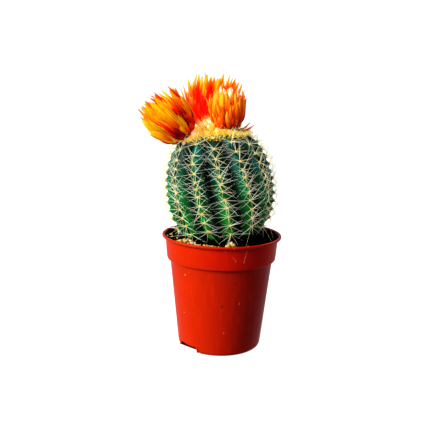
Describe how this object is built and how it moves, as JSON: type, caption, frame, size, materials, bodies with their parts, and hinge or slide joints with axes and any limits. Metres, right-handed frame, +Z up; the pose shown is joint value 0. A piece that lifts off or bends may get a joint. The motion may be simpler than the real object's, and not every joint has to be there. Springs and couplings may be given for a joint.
{
  "type": "potted round cactus",
  "caption": "Round ribbed cactus with spines, a woolly crown and papery flower heads, growing in a tapered nursery pot of soil.",
  "frame": {"origin": "under the middle of the pot, on the surface it stands on", "axes": "+Z up, along the pot's axis; -Y towards the front, the side seen in the picture; +X to the right seen from the front"},
  "size_m": [0.1047, 0.0931, 0.1926],
  "materials": {
    "pot_plastic": "smooth thin moulded plastic, satin to glossy",
    "soil": "crumbly damp peat",
    "flesh": "smooth, slightly waxy green skin",
    "root": "matt fibrous root",
    "crown_wool": "soft matt wool",
    "spines": "smooth horny spines on matt felt",
    "bract_base": "dry and matt",
    "left_bracts": "dry, papery, slightly glossy",
    "back_bracts": "dry, papery, slightly glossy",
    "right_bracts": "dry, papery, slightly glossy",
    "florets": "soft and matt",
    "grain": "rough and matt"
  },
  "bodies": {
    "root": {"crown_wool": "crown_wool", "flower_back_base": "bract_base", "flower_back_disc": "florets", "flower_back_inner_bracts": "back_bracts", "flower_back_middle_bracts": "back_bracts", "flower_back_outer_bracts": "back_bracts", "flower_left_base": "bract_base", "flower_left_disc": "florets", "flower_left_inner_bracts": "left_bracts", "flower_left_middle_bracts": "left_bracts", "flower_left_outer_bracts": "left_bracts", "flower_right_base": "bract_base", "flower_right_disc": "florets", "flower_right_inner_bracts": "right_bracts", "flower_right_middle_bracts": "right_bracts", "flower_right_outer_bracts": "right_bracts", "grain_01": "grain", "grain_02": "grain", "grain_03": "grain", "grain_04": "grain", "grain_05": "grain", "grain_06": "grain", "grain_07": "grain", "grain_08": "grain", "grain_09": "grain", "grain_10": "grain", "grain_11": "grain", "grain_12": "grain", "grain_13": "grain", "grain_14": "grain", "grain_15": "grain", "grain_16": "grain", "pot": "pot_plastic", "rib_01_areoles": "spines", "rib_02_areoles": "spines", "rib_03_areoles": "spines", "rib_04_areoles": "spines", "rib_05_areoles": "spines", "rib_06_areoles": "spines", "rib_07_areoles": "spines", "rib_08_areoles": "spines", "rib_09_areoles": "spines", "rib_10_areoles": "spines", "rib_11_areoles": "spines", "rib_12_areoles": "spines", "rib_13_areoles": "spines", "rib_14_areoles": "spines", "roots": "root", "soil": "soil", "stem": "flesh"}
  },
  "joints": []
}
